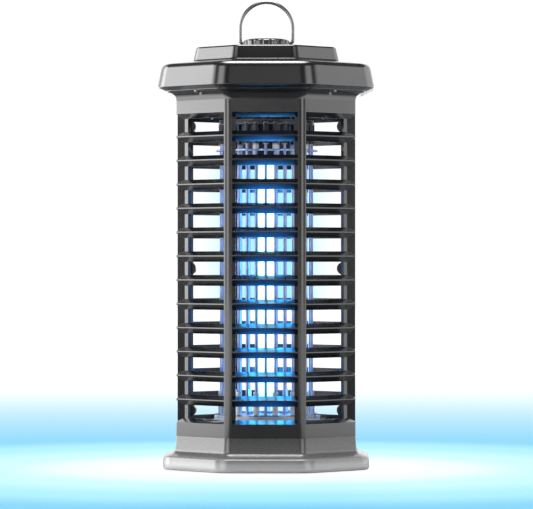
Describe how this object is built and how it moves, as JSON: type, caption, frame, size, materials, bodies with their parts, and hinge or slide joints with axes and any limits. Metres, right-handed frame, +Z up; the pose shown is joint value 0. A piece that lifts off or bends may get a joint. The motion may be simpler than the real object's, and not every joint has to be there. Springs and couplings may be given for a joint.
{
  "type": "electric bug zapper",
  "caption": "Octagonal lantern bug zapper: louvred black cage, high-voltage wire grid round a twin-tube lamp, eaved roof with wire bail, pull-off collection tray.",
  "frame": {"origin": "bottom centre of the zapper, on the surface its four feet stand on", "axes": "+Z up, -Y towards the front face, +X to the right seen from the front"},
  "size_m": [0.17, 0.17, 0.3703],
  "materials": {
    "housing": "glossy black moulded ABS",
    "deck": "black moulded, matte",
    "bail_steel": "drawn steel wire, dark nickel",
    "screw_steel": "zinc-plated steel",
    "grid_steel": "bright drawn steel",
    "insulator": "white moulded insulator",
    "insulator_lower": "translucent white moulded insulator",
    "holder": "black phenolic, matte",
    "lamp_glass": "phosphor-coated glass tube, lit",
    "lamp_cap": "white moulded lamp cap",
    "brass": "plain brass",
    "rubber": "black rubber",
    "board": "green glass-fibre laminate",
    "ferrite": "dark ferrite and black epoxy",
    "core_steel": "laminated core steel",
    "winding_tape": "yellow polyester tape over copper",
    "capacitor": "red-brown epoxy dip",
    "resistor": "tan ceramic body",
    "terminal": "blue moulded terminal block",
    "lead_red": "red silicone insulation",
    "lead_white": "white silicone insulation"
  },
  "bodies": {
    "housing": {"roof_shell": "housing", "hanger_hub": "housing", "hub_screws": "screw_steel", "roof_screws": "screw_steel", "cord_gland": "rubber", "front_frame": "housing", "front_louvres": "housing", "rear_frame": "housing", "rear_louvres": "housing", "cage_screws": "screw_steel", "deck_plate": "deck", "deck_screws": "screw_steel", "upper_insulator": "insulator", "insulator_screws": "screw_steel", "lamp_holder": "holder", "lamp_holder_screws": "screw_steel", "live_ring": "grid_steel", "live_wires": "grid_steel", "return_ring": "grid_steel", "return_wires": "grid_steel", "lower_insulator": "insulator_lower", "lower_insulator_screws": "screw_steel", "circuit_board": "board", "board_standoffs": "insulator", "transformer_core": "ferrite", "transformer_winding": "winding_tape", "ballast_core": "core_steel", "ballast_winding": "winding_tape", "hv_capacitors": "capacitor", "rectifier_diodes": "ferrite", "bleed_resistor": "resistor", "fuse_holder": "insulator", "terminal_block": "terminal", "grid_leads": "lead_red", "lamp_leads": "lead_white"},
    "bail": {"bail_handle": "bail_steel"},
    "tray": {"collection_tray": "housing", "rubber_feet": "rubber"},
    "lamp": {"lamp_tubes": "lamp_glass", "lamp_base": "lamp_cap", "lamp_pins": "brass"}
  },
  "joints": [
    {"name": "bail_swing", "type": "hinge", "parent": "housing", "child": "bail", "pos_m": [0, 0, 0.33661], "axis": [1, 0, 0], "range_deg": [-95, 95]},
    {"name": "tray_drop", "type": "slide", "parent": "housing", "child": "tray", "axis": [0, 0, -1], "range_m": [0, 0.06]},
    {"name": "lamp_pull", "type": "slide", "parent": "housing", "child": "lamp", "axis": [0, 0, -1], "range_m": [0, 0.02]}
  ]
}
